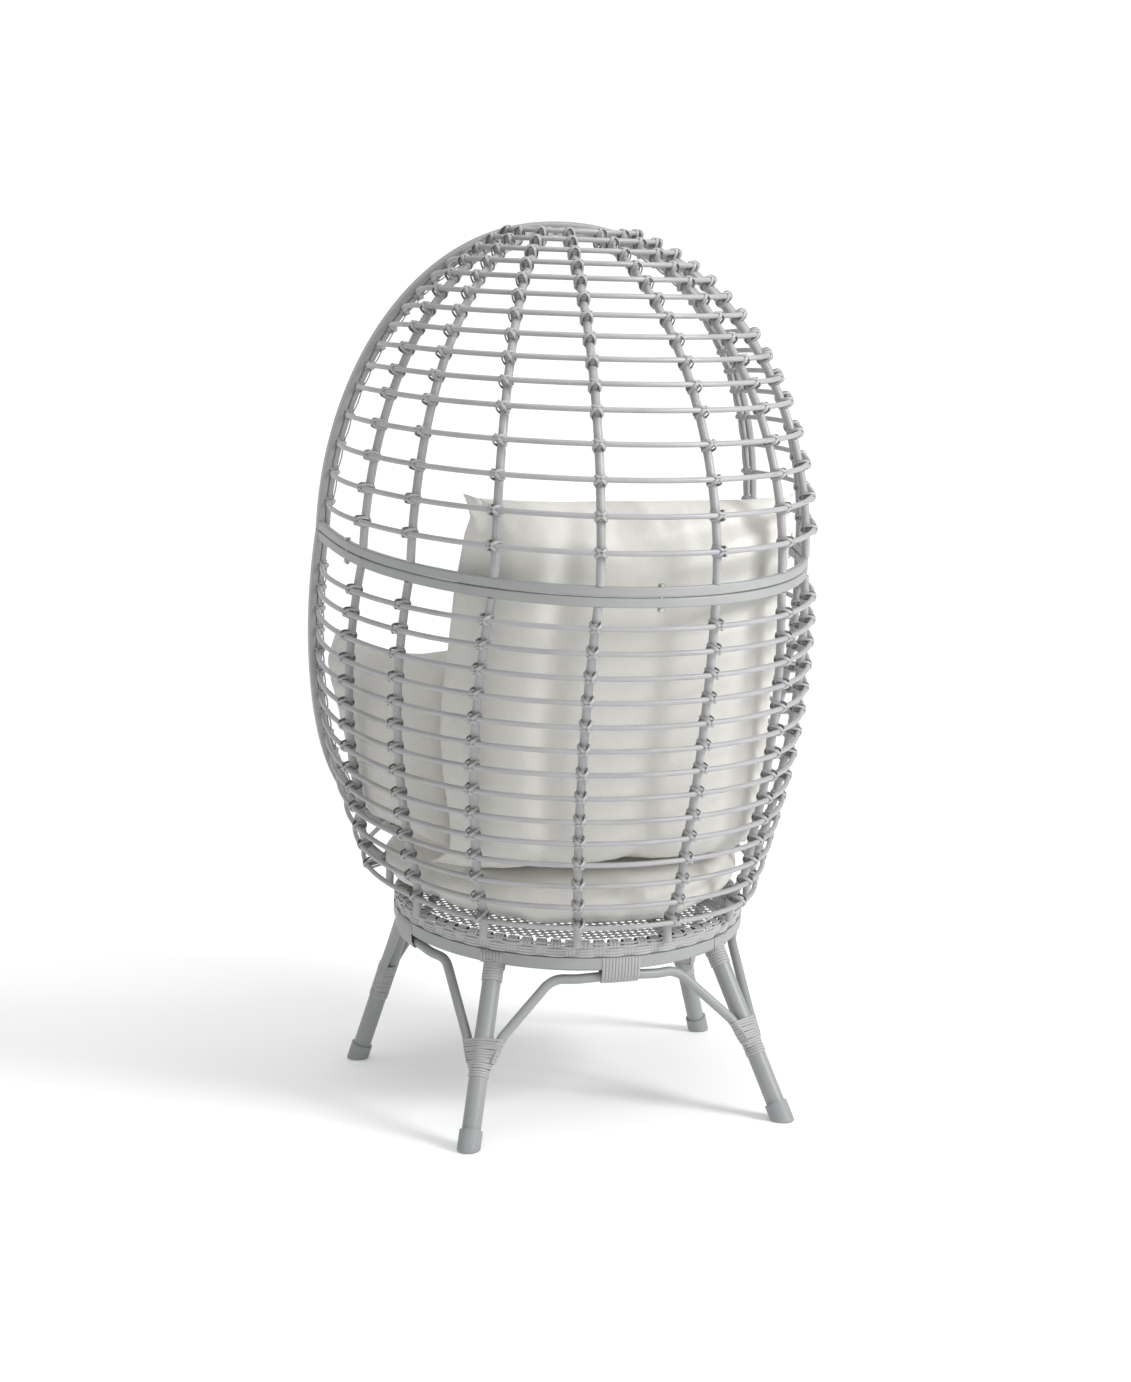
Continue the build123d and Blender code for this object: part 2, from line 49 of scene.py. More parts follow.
LEAN = math.radians(6.5)
RING_Y = -89.5
RING_HEIGHT = 321.0
MID_W = 622.0
TOP_W = 1168.0
BOTTOM_W = 7.0
OPENING_SLOPE = 0.138
HOOP_V = -323.0
HOOP_STRETCH = math.sqrt(1 + OPENING_SLOPE**2)
HOOP_WIDTH = 12.0
ROD_R = 5.0
ROD_INSET = 17.3
ROD_BEHIND = 7.0
RIB_R = 7.0
CANE_R = 4.25
RIB_IN = RIB_R + 1.0
CANE_OUT = CANE_R + 0.8
RIB_ANGLES = (12.9, 35.5, 56.4, 72.6)
RIB_DRIFTS = (-4.8, -1.0, 0.0, 5.8)
RING_R = 306.0
RING_INNER_R = 280.0
RING_TALL = 22.0
BAND_INNER_R = 284.0
BAND_STAKES = 78
BAND_ROWS = 5
BAND_FOOT = 1.0
BAND_WOVEN = 24.0
SEAT_W = 24.0
SEAT_PITCH = 12.7
BASE_REACH = RING_R + RIB_R + 0.8 + RIB_IN
LEG_ANGLES = (41.0, -41.0, -124.6, 124.6)
FOOT_ANGLES = (38.2, -38.2, -124.6, 124.6)
FOOT_RADII = (436.0, 436.0, 406.0, 406.0)
LEG_TOP_RADIUS = 293.0
LEG_R = 15.5
BRACE_R = 8.0
BRACE_CLEAR = 6.2
BRACE_LOW = 0.45
BRACE_SPREAD = 4.3
BRACE_MITRE = (36.0, 14.0)
MITRE_LOW = 0.38
FAN_LOW = 0.42
FAN_HIGH = 0.575
FAN_TURNS = 11
FAN_WRAPS = 3
FAN_WRAP_PITCH = 4.3
TOP_STRANDS = 7
TOP_STRAND_PITCH = 5.9
TOP_TURNS = 7
TOP_TURN_PITCH = 4.8
TIE_STRANDS = 12
TIE_STRAND_PITCH = 5.5
# Where the two turns that hold a cane's end sit on the rim rod, to either side of it.
HOOK_TURNS = (-6.2, 6.2)
STRAND_WIDE = 5.6
STRAND_THICK = 1.6
KNOT_WIDE = 5.6
KNOT_THICK = 2.2
# Half lengths of a lashing's slanting loop behind the rib and over the cane.
KNOT_BEHIND = 10.4
KNOT_FRONT = 11.2
# Inner turns of a lashing: half width along the cane and half height.
CORE_ACROSS = 8.1
CORE_UP = 6.0
# How far cushion cloth may slide along itself while it is blown up.
SLIDE = 5.0
INFLATE_FRAMES = 20
LEG_NAMES = ("rear_left", "rear_right", "front_right", "front_left")
TIE_NAMES = ("rear", "right", "front", "left")


# ---------------------------------------------------------------- basket surface

def place(u, v, w):
    """A point of the basket frame in the chair's frame, in metres."""
    y = RING_Y + v * math.cos(LEAN) + w * math.sin(LEAN)
    z = RING_HEIGHT - v * math.sin(LEAN) + w * math.cos(LEAN)
    return np.array([u, y, z]) / 1000


def unplace(points):
    """Chair-frame points in metres back to the basket frame in millimetres."""
    p = np.asarray(points) * 1000
    y = p[..., 1] - RING_Y
    z = p[..., 2] - RING_HEIGHT
    v = y * math.cos(LEAN) - z * math.sin(LEAN)
    w = y * math.sin(LEAN) + z * math.cos(LEAN)
    return np.stack([p[..., 0], v, w], -1)


def unit(a):
    """The vector, or each row of them, at length one."""
    return a / np.maximum(np.linalg.norm(a, axis=-1, keepdims=True), 1e-12)


def power(value, exponent):
    return math.copysign(abs(value) ** exponent, value)


def rise(w):
    return min(max((w - MID_W) / (TOP_W - MID_W), 0), 0.9999)


def drop(w):
    return max(1 - w / MID_W, 0)


def half_width(w):
    s, q = rise(w), drop(w)
    return 410 * (1 - s * s) ** 0.46 + 75 * q - 163 * q * q


def rear(w):
    if w < MID_W:
        return 429 - 113 * drop(w)
    return -147 + 576 * (1 - rise(w) ** 2) ** 0.59


def widest(w):
    return -309 + OPENING_SLOPE * w + 94 * math.sqrt(1 - rise(w) ** 2) - 66 * drop(w)


def surface(angle, w):
    """Basket surface at an angle from the rear, millimetres in the basket frame."""
    m = 2 / (2.07 + 0.65 * drop(w))
    a = math.radians(angle)
    u = half_width(w) * power(math.sin(a), m)
    v = widest(w) + (rear(w) - widest(w)) * power(math.cos(a), m)
    reach = math.hypot(u, v)
    if w < MID_W / 2 and reach < BASE_REACH:
        u, v = u * BASE_REACH / reach, v * BASE_REACH / reach
    return np.array([u, v, w])


def shell(angle, w, out):
    """Point standing out from the basket surface, in metres in the chair's frame."""
    a = max(abs(angle), 0.5)
    along = surface(a + 0.3, w) - surface(a - 0.3, w)
    up = surface(a, w + 0.5) - surface(a, w - 0.5)
    p = surface(a, w) + unit(np.cross(up, along)) * out
    return place(math.copysign(p[0], angle), p[1], p[2])


def hoop_width(w):
    q = min((MID_W - w) / (MID_W - BOTTOM_W), 1)
    return half_width(w) * (1 - q**9) ** 0.4545 if q > 0 else half_width(w)


def rim(side, w, inset, behind):
    """Point beside the hoop: inset from its outer edge, behind its middle plane."""
    step = 0.25
    du = hoop_width(w + step) - hoop_width(w - step)
    dy = 2 * step * HOOP_STRETCH
    size = math.hypot(du, dy)
    u = hoop_width(w) - inset * dy / size
    y = w * HOOP_STRETCH + inset * du / size
    return hoop_point(side * u, y, behind)


def hoop_point(x, y, behind):
    """Hoop-plane coordinates to the chair's frame."""
    v = HOOP_V + (y * OPENING_SLOPE + behind) / HOOP_STRETCH
    w = (y - behind * OPENING_SLOPE) / HOOP_STRETCH
    return place(x, v, w)


def cane_heights():
    """(w, is above the split ring) of every cane."""
    turns = [6.5 + 5.7 * min(i, 4) + 4.55 * max(i - 4, 0) for i in range(15)]
    upper = [MID_W + (TOP_W - MID_W) * math.sin(math.radians(t)) for t in turns]
    lower = [568.5 - 39.9 * i + 2.7 * max(i - 8, 0) for i in range(14)]
    return [(w, True) for w in upper] + [(w, False) for w in lower]


# ---------------------------------------------------------------- mesh building

class Sweeps:
    """Collects swept strands and rods, then makes one mesh object of them."""

    def __init__(self):
        self.verts, self.faces, self.uvs = [], [], []
        self.count = 0

    def add(self, path, normals, profile, closed=False, scale=None):
        """Sweep a closed profile of (across, out) pairs in metres along the path."""
        path = np.asarray(path, float)
        n = len(path)
        if closed:
            tangents = unit(np.roll(path, -1, 0) - np.roll(path, 1, 0))
        else:
            tangents = unit(np.gradient(path, axis=0))
        normals = np.asarray(normals, float)
        normals = unit(normals - tangents * (normals * tangents).sum(1, keepdims=True))
        across = np.cross(tangents, normals)
        prof = np.asarray(profile)
        k = len(prof)
        size = np.ones(n) if scale is None else np.asarray(scale)
        ring = (
            path[:, None]
            + across[:, None] * prof[None, :, :1] * size[:, None, None]
            + normals[:, None] * prof[None, :, 1:] * size[:, None, None]
        )
        start = self.count
        self.verts.append(ring.reshape(-1, 3))
        self.count += n * k
        steps = np.r_[0, np.cumsum(np.linalg.norm(np.diff(path, axis=0), axis=1))]
        total = steps[-1] + (np.linalg.norm(path[0] - path[-1]) if closed else 0)
        far = np.r_[steps, total]
        for i in range(n if closed else n - 1):
            a, b = start + i * k, start + ((i + 1) % n) * k
            for j in range(k):
                m = (j + 1) % k
                self.faces.append((a + j, a + m, b + m, b + j))
                self.uvs += [(far[i], j / k), (far[i], (j + 1) / k)]
                self.uvs += [(far[i + 1], (j + 1) / k), (far[i + 1], j / k)]
        if not closed:
            last = start + (n - 1) * k
            self.faces.append(tuple(range(start + k - 1, start - 1, -1)))
            self.faces.append(tuple(range(last, last + k)))
            self.uvs += [(0, j / k) for j in range(k)] * 2

    def build(self, name, material, slot_name):
        """Make the object, ride it on the chair and give it its material."""
        mesh = bpy.data.meshes.new(name)
        mesh.from_pydata(np.concatenate(self.verts).tolist(), [], self.faces)
        layer = mesh.uv_layers.new(name="along")
        layer.data.foreach_set("uv", np.asarray(self.uvs, np.float32).ravel())
        mesh.polygons.foreach_set("use_smooth", [len(f) == 4 for f in self.faces])
        mesh.update()
        obj = bpy.data.objects.new(name, mesh)
        bpy.context.scene.collection.objects.link(obj)
        return finish_piece(obj, material)


def finish_piece(obj, material):
    obj.data.materials.clear()
    obj.data.materials.append(material)
    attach(obj, "root")
    return obj


def flat_profile(wide, thick):
    """Flat strand with softened corners, millimetres in, metres out."""
    a, b = wide / 2000, thick / 2000
    c = min(a, b) * 0.6
    under = [(-a, -b + c), (-a + c, -b), (a - c, -b), (a, -b + c)]
    return under + [(a, b - c), (a - c, b), (-a + c, b), (-a, b - c)]


def domed_profile(wide, thick):
    """Flat strand whose outer face is crowned."""
    a, b = wide / 2000, thick / 2000
    top = [(a * math.cos(t), -b + 2 * b * math.sin(t) ** 0.7) for t in np.linspace(0.12, math.pi - 0.12, 7)]
    return [(-a, -b), (a, -b)] + top


def round_profile(radius, sides=10):
    r = radius / 1000
    turn = np.linspace(0, 2 * math.pi, sides, endpoint=False)
    return [(r * math.cos(t), r * math.sin(t)) for t in turn]


# ---------------------------------------------------------------- materials

def new_material(name):
    material = bpy.data.materials.new(name)
    material.use_nodes = True
    tree = material.node_tree
    return material, tree, tree.nodes["Principled BSDF"]


def add(tree, kind, **sockets):
    """A node with its sockets set: numbers and colours are values, sockets are links."""
    node = tree.nodes.new(kind)
    for key, value in sockets.items():
        if key.startswith("_"):
            setattr(node, key[1:], value)
            continue
        target = node.inputs[int(key[1:])] if key[0] == "i" and key[1:].isdigit() else node.inputs[key]
        if isinstance(value, bpy.types.NodeSocket):
            tree.links.new(value, target)
        else:
            target.default_value = value
    return node


def ramp(tree, source, stops):
    """Colour ramp of (position, colour) stops."""
    node = tree.nodes.new("ShaderNodeValToRGB")
    tree.links.new(source, node.inputs[0])
    node.color_ramp.elements[0].position = stops[0][0]
    node.color_ramp.elements[0].color = (*stops[0][1], 1)
    node.color_ramp.elements[1].position = stops[-1][0]
    node.color_ramp.elements[1].color = (*stops[-1][1], 1)
    for position, colour in stops[1:-1]:
        node.color_ramp.elements.new(position).color = (*colour, 1)
    return node.outputs["Color"]


def bump(tree, bsdf, height, distance, strength=1.0, before=None):
    node = add(tree, "ShaderNodeBump", Height=height, Distance=distance, Strength=strength)
    if before is not None:
        tree.links.new(before, node.inputs["Normal"])
    tree.links.new(node.outputs["Normal"], bsdf.inputs["Normal"])
    return node.outputs["Normal"]


def painted_metal(name, tint):
    """Powder coat: fine orange peel and faint cloudiness."""
    material, tree, bsdf = new_material(name)
    where = add(tree, "ShaderNodeTexCoord").outputs["Object"]
    cloud = add(tree, "ShaderNodeTexNoise", Vector=where, Scale=9.0, Detail=3.0)
    peel = add(tree, "ShaderNodeTexNoise", Vector=where, Scale=900.0, Detail=2.0)
    dark = tuple(c * 0.93 for c in tint)
    light = tuple(min(c * 1.05, 1) for c in tint)
    tree.links.new(ramp(tree, cloud.outputs["Fac"], [(0.3, dark), (0.7, light)]), bsdf.inputs["Base Color"])
    rough = add(tree, "ShaderNodeMapRange", Value=cloud.outputs["Fac"])
    rough.inputs["To Min"].default_value = 0.36
    rough.inputs["To Max"].default_value = 0.48
    tree.links.new(rough.outputs["Result"], bsdf.inputs["Roughness"])
    bump(tree, bsdf, peel.outputs["Fac"], 0.00012, 0.5)
    return material


def rattan(name, tint, streak=0.10, groove=0.00025, edge=None):
    """Synthetic rattan strand: fine lengthwise grain that follows the strand.

    With edge given, the two narrow sides of a flat strand are darkened to that share: painted shade in the
    crevices between strands.
    """
    material, tree, bsdf = new_material(name)
    where = add(tree, "ShaderNodeUVMap", _uv_map="along").outputs["UV"]
    stretch = add(tree, "ShaderNodeMapping", Vector=where)
    stretch.inputs["Scale"].default_value = (18.0, 26.0, 1.0)
    grain = add(tree, "ShaderNodeTexNoise", Vector=stretch.outputs["Vector"], Scale=1.0, Detail=4.0)
    broad = add(tree, "ShaderNodeTexNoise", Vector=where, Scale=7.0, Detail=1.0)
    mixed = add(tree, "ShaderNodeMath", _operation="ADD", i0=grain.outputs["Fac"], i1=broad.outputs["Fac"])
    dark = tuple(c * (1 - streak) for c in tint)
    light = tuple(min(c * (1 + streak), 1) for c in tint)
    colour = ramp(tree, mixed.outputs["Value"], [(0.75, dark), (1.2, light)])
    # Painted shade: the strand's narrow sides are darkened, standing in for shadow between turns.
    if edge is not None:
        round_it = add(tree, "ShaderNodeSeparateXYZ", Vector=where).outputs["Y"]
        twice = add(tree, "ShaderNodeMath", _operation="MULTIPLY_ADD", i0=round_it, i1=2.0, i2=0.625)
        part = add(tree, "ShaderNodeMath", _operation="FRACT", i0=twice.outputs["Value"])
        low, full = (edge, edge, edge), (1.0, 1.0, 1.0)
        shade = ramp(tree, part.outputs["Value"], [(0.14, full), (0.34, low), (0.66, low), (0.86, full)])
        darkened = add(tree, "ShaderNodeVectorMath", _operation="MULTIPLY", i0=colour, i1=shade)
        colour = darkened.outputs["Vector"]
    tree.links.new(colour, bsdf.inputs["Base Color"])
    bsdf.inputs["Roughness"].default_value = 0.46
    bump(tree, bsdf, grain.outputs["Fac"], groove, 0.8)
    return material


def wrapped_rod(name, tint, lengthwise):
    """Rod carried over from the frame, with grain along its main direction."""
    material, tree, bsdf = new_material(name)
    where = add(tree, "ShaderNodeTexCoord").outputs["Object"]
    stretch = add(tree, "ShaderNodeMapping", Vector=where)
    stretch.inputs["Scale"].default_value = lengthwise
    grain = add(tree, "ShaderNodeTexNoise", Vector=stretch.outputs["Vector"], Scale=1.0, Detail=3.0)
    broad = add(tree, "ShaderNodeTexNoise", Vector=where, Scale=14.0, Detail=2.0)
    mixed = add(tree, "ShaderNodeMath", _operation="ADD", i0=grain.outputs["Fac"], i1=broad.outputs["Fac"])
    dark = tuple(c * 0.92 for c in tint)
    light = tuple(min(c * 1.07, 1) for c in tint)
    colour = ramp(tree, mixed.outputs["Value"], [(0.75, dark), (1.25, light)])
    tree.links.new(colour, bsdf.inputs["Base Color"])
    bsdf.inputs["Roughness"].default_value = 0.42
    bump(tree, bsdf, grain.outputs["Fac"], 0.0003, 0.7)
    return material


def fabric(name, tint):
    """Plain-weave polyester: crossing threads, soft creases and a little fuzz."""
    material, tree, bsdf = new_material(name)
    where = add(tree, "ShaderNodeTexCoord").outputs["Object"]
    warp = add(tree, "ShaderNodeTexWave", Vector=where, Scale=260.0, Distortion=0.6, Detail=1.0)
    warp.bands_direction = "X"
    weft = add(tree, "ShaderNodeTexWave", Vector=where, Scale=260.0, Distortion=0.6, Detail=1.0)
    weft.bands_direction = "Z"
    weave = add(tree, "ShaderNodeMath", _operation="MULTIPLY", i0=warp.outputs["Fac"], i1=weft.outputs["Fac"])
    crease = add(tree, "ShaderNodeTexNoise", Vector=where, Scale=11.0, Detail=3.0)
    crease.inputs["Distortion"].default_value = 0.8
    slub = add(tree, "ShaderNodeTexNoise", Vector=where, Scale=380.0, Detail=2.0)
    threads, lumps = weave.outputs["Value"], slub.outputs["Fac"]
    mixed = add(tree, "ShaderNodeMath", _operation="MULTIPLY_ADD", i0=threads, i1=0.35, i2=lumps)
    dark = tuple(c * 0.90 for c in tint)
    tree.links.new(ramp(tree, mixed.outputs["Value"], [(0.2, dark), (0.8, tint)]), bsdf.inputs["Base Color"])
    bsdf.inputs["Roughness"].default_value = 0.86
    bsdf.inputs["Sheen Weight"].default_value = 0.12
    bsdf.inputs["Sheen Roughness"].default_value = 0.5
    first = bump(tree, bsdf, crease.outputs["Fac"], 0.006, 0.35)
    bump(tree, bsdf, weave.outputs["Value"], 0.00035, 0.7, before=first)
    return material


def plastic(name, tint):
    material, tree, bsdf = new_material(name)
    where = add(tree, "ShaderNodeTexCoord").outputs["Object"]
    grain = add(tree, "ShaderNodeTexNoise", Vector=where, Scale=700.0, Detail=2.0)
    cloud = add(tree, "ShaderNodeTexNoise", Vector=where, Scale=25.0, Detail=2.0)
    dark = tuple(c * 0.9 for c in tint)
    tree.links.new(ramp(tree, cloud.outputs["Fac"], [(0.3, dark), (0.65, tint)]), bsdf.inputs["Base Color"])
    bsdf.inputs["Roughness"].default_value = 0.5
    bump(tree, bsdf, grain.outputs["Fac"], 0.0002, 0.6)
    return material


def zinc_steel(name):
    material, tree, bsdf = new_material(name)
    where = add(tree, "ShaderNodeTexCoord").outputs["Object"]
    cloud = add(tree, "ShaderNodeTexNoise", Vector=where, Scale=160.0, Detail=3.0)
    tree.links.new(
        ramp(tree, cloud.outputs["Fac"], [(0.3, (0.30, 0.30, 0.29)), (0.7, (0.62, 0.61, 0.58))]),
        bsdf.inputs["Base Color"],
    )
    bsdf.inputs["Metallic"].default_value = 1.0
    bsdf.inputs["Roughness"].default_value = 0.34
    bump(tree, bsdf, cloud.outputs["Fac"], 0.0001, 0.5)
    return material


GREY = (0.325, 0.333, 0.330)
LILAC_GREY = (0.352, 0.348, 0.356)
frame_paint = painted_metal("frame_paint", GREY)
leg_paint = painted_metal("leg_paint", (0.304, 0.314, 0.312))
rib_wrap = wrapped_rod("rib_wrap", LILAC_GREY, (420.0, 420.0, 22.0))
cane_skin = wrapped_rod("cane_skin", (0.355, 0.351, 0.36), (16.0, 16.0, 520.0))
strand_skin = rattan("strand_skin", LILAC_GREY)
# Lashings and rim bindings carry painted shade on their strand edges.
knot_skin_painted_edge_shade = rattan("knot_skin_painted_edge_shade", LILAC_GREY, edge=0.6)
# Runner strands are the same rattan, tinted much darker as painted shade for the gap behind the rib.
painted_shade_skin = rattan("painted_shade_skin", (0.21, 0.21, 0.215))
band_skin = rattan("band_skin", (0.385, 0.383, 0.385), streak=0.16, groove=0.0004)
weave_skin = rattan("weave_skin", (0.20, 0.20, 0.20), streak=0.18)
cap_plastic = plastic("cap_plastic", (0.295, 0.312, 0.312))
bolt_metal = zinc_steel("bolt_metal")
cushion_cloth = fabric("cushion_cloth", (0.70, 0.69, 0.65))


def paint_nodes():
    """Give every carried-over CAD node its finish."""
    finishes = {
        "painted_frame": frame_paint,
        "painted_leg": leg_paint,
        "rattan_rib": rib_wrap,
        "rattan_cane": cane_skin,
        "rattan_binding": strand_skin,
        "woven_band": band_skin,
        "cane_seat": weave_skin,
        "foot_cap_plastic": cap_plastic,
        "bolt_steel": bolt_metal,
        "cushion_fabric": cushion_cloth,
    }
    for entry in frame["record"]["subparts"]:
        node = nodes[entry["node"]]
        node.data.materials.clear()
        node.data.materials.append(finishes[entry["material_slot"]])


# ---------------------------------------------------------------- lashings

def slice_node(name, w):
    """Centre of a node's cross-section at height w, in metres, or None above or below it."""
    mesh = nodes[name].data
    co = np.empty(len(mesh.vertices) * 3)
    mesh.vertices.foreach_get("co", co)
    co = co.reshape(-1, 3)
    edges = np.empty(len(mesh.edges) * 2, int)
    mesh.edges.foreach_get("vertices", edges)
    a, b = co[edges[0::2]], co[edges[1::2]]
    wa, wb = unplace(a)[:, 2] - w, unplace(b)[:, 2] - w
    hit = wa * wb < 0
    if hit.sum() < 3:
        return None
    t = (wa / (wa - wb))[hit][:, None]
    points = a[hit] + (b[hit] - a[hit]) * t
    return (points.min(0) + points.max(0)) / 2


def crossings(index, side, upper):
    """Where one rib meets the canes: (cane axis, rib axis, outward, cane way, rib way)."""
    word = "left" if side > 0 else "right"
    node = f"{'upper' if upper else 'lower'}_rib_{word}_{index + 1}"
    found = []
    for w, above in cane_heights():
        if above != upper:
            continue
        angle = side * (RIB_ANGLES[index] + RIB_DRIFTS[index] * drop(w))
        on_cane = shell(angle, w, CANE_OUT)
        on_rib = slice_node(node, w)
        if on_rib is None:
            continue
        way = unit(shell(angle + 1, w, CANE_OUT) - shell(angle - 1, w, CANE_OUT))
        up = unit(shell(angle, w + 3, 0) - shell(angle, w - 3, 0))
        out = unit(np.cross(way, up))
        if np.dot(out, on_cane - on_rib) < 0:
            out = -out
        up = unit(np.cross(out, way))
        if up[2] < 0:
            up = -up
        near = on_rib + up * np.dot(on_cane - on_rib, up)
        found.append((on_cane, near, out, way, up))
    return sorted(found, key=lambda f: f[0][2])


def lashing_loop(sweeps, on_cane, on_rib, out, lean):
    """One closed strand that slants over the cane and round behind the rib."""
    gap = np.dot(on_cane - on_rib, out)
    top = (CANE_R + KNOT_THICK * 0.5 + 0.3) / 1000
    bottom = -gap - (RIB_R + KNOT_THICK * 0.5) / 1000
    middle, half = (top + bottom) / 2, (top - bottom) / 2
    path, normals = [], []
    for t in np.linspace(0, 2 * math.pi, 18, endpoint=False):
        y = middle + half * power(math.sin(t), 0.75)
        share = (y - bottom) / (top - bottom)
        x = (KNOT_BEHIND * (1 - share) + KNOT_FRONT * share) / 1000 * power(math.cos(t), 0.75)
        base = on_cane * share + (on_rib + out * gap) * (1 - share)
        path.append(base + out * y + lean * x)
        normals.append(out * math.sin(t) + lean * math.cos(t))
    sweeps.add(path, normals, flat_profile(KNOT_WIDE, KNOT_THICK), closed=True)


def knot_core(sweeps, on_cane, on_rib, out, up):
    """Inner turns between the rib and the cane, as one oval plug."""
    turn = np.linspace(0, 2 * math.pi, 12, endpoint=False)
    oval = [(CORE_ACROSS * math.cos(t) / 1000, CORE_UP * math.sin(t) / 1000) for t in turn]
    path = [on_rib, (on_rib + on_cane) / 2, on_cane - out * 0.0005]
    sweeps.add(path, [up] * 3, oval, scale=[1.0, 1.0, 0.88])


def runner(sweeps, low, high, side_sign):
    """Strand that crosses from one side of the rib to the other between two lashings."""
    path, normals = [], []
    for t in np.linspace(0, 1, 9):
        centre = low[1] * (1 - t) + high[1] * t
        out = unit(low[2] * (1 - t) + high[2] * t)
        way = unit(low[3] * (1 - t) + high[3] * t) * side_sign
        aside = (8.6 - 15.4 * t**0.8) / 1000
        path.append(centre + way * aside - out * 0.0025)
        normals.append(unit(out + way * (0.5 - t)))
    sweeps.add(path, normals, flat_profile(4.4, STRAND_THICK))


def lash_ribs():
    """Cross lashings and the strands between them, one piece for each half."""
    for upper, word in ((True, "upper"), (False, "lower")):
        knots, strands = Sweeps(), Sweeps()
        for side in (1, -1):
            for index in range(4):
                marks = crossings(index, side, upper)
                for on_cane, on_rib, out, way, up in marks:
                    knot_core(knots, on_cane, on_rib, out, up)
                    for sign in (1, -1):
                        lean = unit(way * 0.80 * sign + up * 0.60)
                        lashing_loop(knots, on_cane, on_rib, out, lean)
                for low, high in zip(marks[:-1], marks[1:]):
                    runner(strands, low, high, -side if upper else side)
        knots.build(f"lashings_{word}", knot_skin_painted_edge_shade, "rattan_binding")
        # The runners take the darker tint: painted shade behind the rib.
        strands.build(f"rib_strands_{word}", painted_shade_skin, "rattan_binding")


# ---------------------------------------------------------------- cane ends on the rim rod

def rim_frame(side, w):
    """Rod centre, inward way, rearward way and way along the rod."""
    centre = rim(side, w, ROD_INSET, ROD_BEHIND)
    inward = unit(rim(side, w, ROD_INSET + 1, ROD_BEHIND) - centre)
    behind = unit(rim(side, w, ROD_INSET, ROD_BEHIND + 1) - centre)
    return centre, inward, behind, unit(np.cross(inward, behind))


def wrap_ring(sweeps, centre, a, b, radius, wide):
    """One turn of strand round a rod."""
    turn = np.linspace(0, 2 * math.pi, 16, endpoint=False)
    ways = [a * math.cos(t) + b * math.sin(t) for t in turn]
    path = [centre + d * (radius + STRAND_THICK / 2) / 1000 for d in ways]
    sweeps.add(path, ways, flat_profile(wide, STRAND_THICK), closed=True)


def end_canes():
    """Each cane hooks round the rim rod and is bound to it."""
    hooks, turns = Sweeps(), Sweeps()
    for side in (1, -1):
        last = {True: None, False: None}
        for w, above in sorted(cane_heights()):
            centre, inward, behind, along = rim_frame(side, w)
            stop = rim(side, w, HOOP_WIDTH + 2, ROD_BEHIND + ROD_R + CANE_R + 0.8)
            way_in = unit(shell(side * RIB_ANGLES[3], w, CANE_OUT) - stop)
            path = [stop + way_in * 0.012, stop + way_in * 0.004]
            size = [1.0, 1.0]
            for t in np.linspace(0.15, 1.25, 7) * math.pi:
                spoke = behind * math.cos(t) + inward * math.sin(t)
                path.append(centre + spoke * (ROD_R + CANE_R * 0.72) / 1000)
                size.append(1.0 - 0.28 * min(t / math.pi, 1.0))
            hooks.add(path, [along] * len(path), round_profile(CANE_R), scale=size)
            for shift in HOOK_TURNS:
                wrap_ring(turns, centre + along * shift / 1000, inward, behind, ROD_R, STRAND_WIDE)
            lean = unit(along * 0.6 + inward * 0.8)
            wrap_ring(turns, centre + behind * 0.002, lean, behind, ROD_R + 3.4, 4.4)
            if last[above] is not None:
                rim_runner(turns, side, last[above], w)
            last[above] = w
    hooks.build("cane_hooks", strand_skin, "rattan_cane")
    turns.build("rim_bindings", knot_skin_painted_edge_shade, "rattan_binding")


def rim_runner(sweeps, side, low, high):
    """Strand that bows inward along the rim rod between two cane ends."""
    path, normals = [], []
    for t in np.linspace(0.04, 0.96, 9):
        w = low * (1 - t) + high * t
        centre, inward, behind, along = rim_frame(side, w)
        tilt = unit(inward * 0.9 + behind * 0.43)
        path.append(centre + tilt * (ROD_R + 0.6 + 3.0 * math.sin(math.pi * t)) / 1000)
        normals.append(tilt)
    sweeps.add(path, normals, flat_profile(5.0, STRAND_THICK))


# ---------------------------------------------------------------- woven band and cane seat

def band_weave():
    """Flat strands woven round the seat ring, three rows then two, over upright stakes."""
    weave = Sweeps()
    pitch = 2 * math.pi / BAND_STAKES
    tall = BAND_WOVEN / BAND_ROWS
    for row in range(BAND_ROWS):
        phase = 0 if row < 3 else 1
        height = BAND_FOOT + tall * (row + 0.5)
        lean_in = 0.0 if row < BAND_ROWS - 1 else 3.0
        path, normals = [], []
        steps = BAND_STAKES * 6
        for i in range(steps):
            a = 2 * math.pi * i / steps
            swing = math.sin(a / pitch * math.pi + phase * math.pi)
            over = math.tanh(2.6 * swing)
            r = RING_R - 2.2 - lean_in + 1.25 * over
            path.append(place(r * math.sin(a), r * math.cos(a), height))
            normals.append(place(r * 2 * math.sin(a), r * 2 * math.cos(a), height) - path[-1])
        weave.add(path, normals, domed_profile(tall * 1.02, 1.5), closed=True)
    for i in range(BAND_STAKES):
        for offset in (-0.24, 0.0, 0.24):
            a = (i + 0.5 + offset) * pitch
            profile = [(RING_R - 3.0, 1.0), (RING_R - 3.0, 11.0), (RING_R - 3.2, 20.5), (RING_R - 5.0, 24.5)]
            profile += [(RING_R - 9.0, 26.6), (RING_R - 14.0, 26.8), (RING_R - 19.0, 25.3)]
            profile += [(BAND_INNER_R + 0.8, 21.5), (BAND_INNER_R + 0.6, 4.0)]
            path = [place(r * math.sin(a), r * math.cos(a), w) for r, w in profile]
            hub = place((RING_R - 13) * math.sin(a), (RING_R - 13) * math.cos(a), 15)
            weave.add(path, [p - hub for p in path], domed_profile(5.6, 1.4))
    piece = weave.build("band_weave", band_skin, "woven_band")
    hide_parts("woven_band")


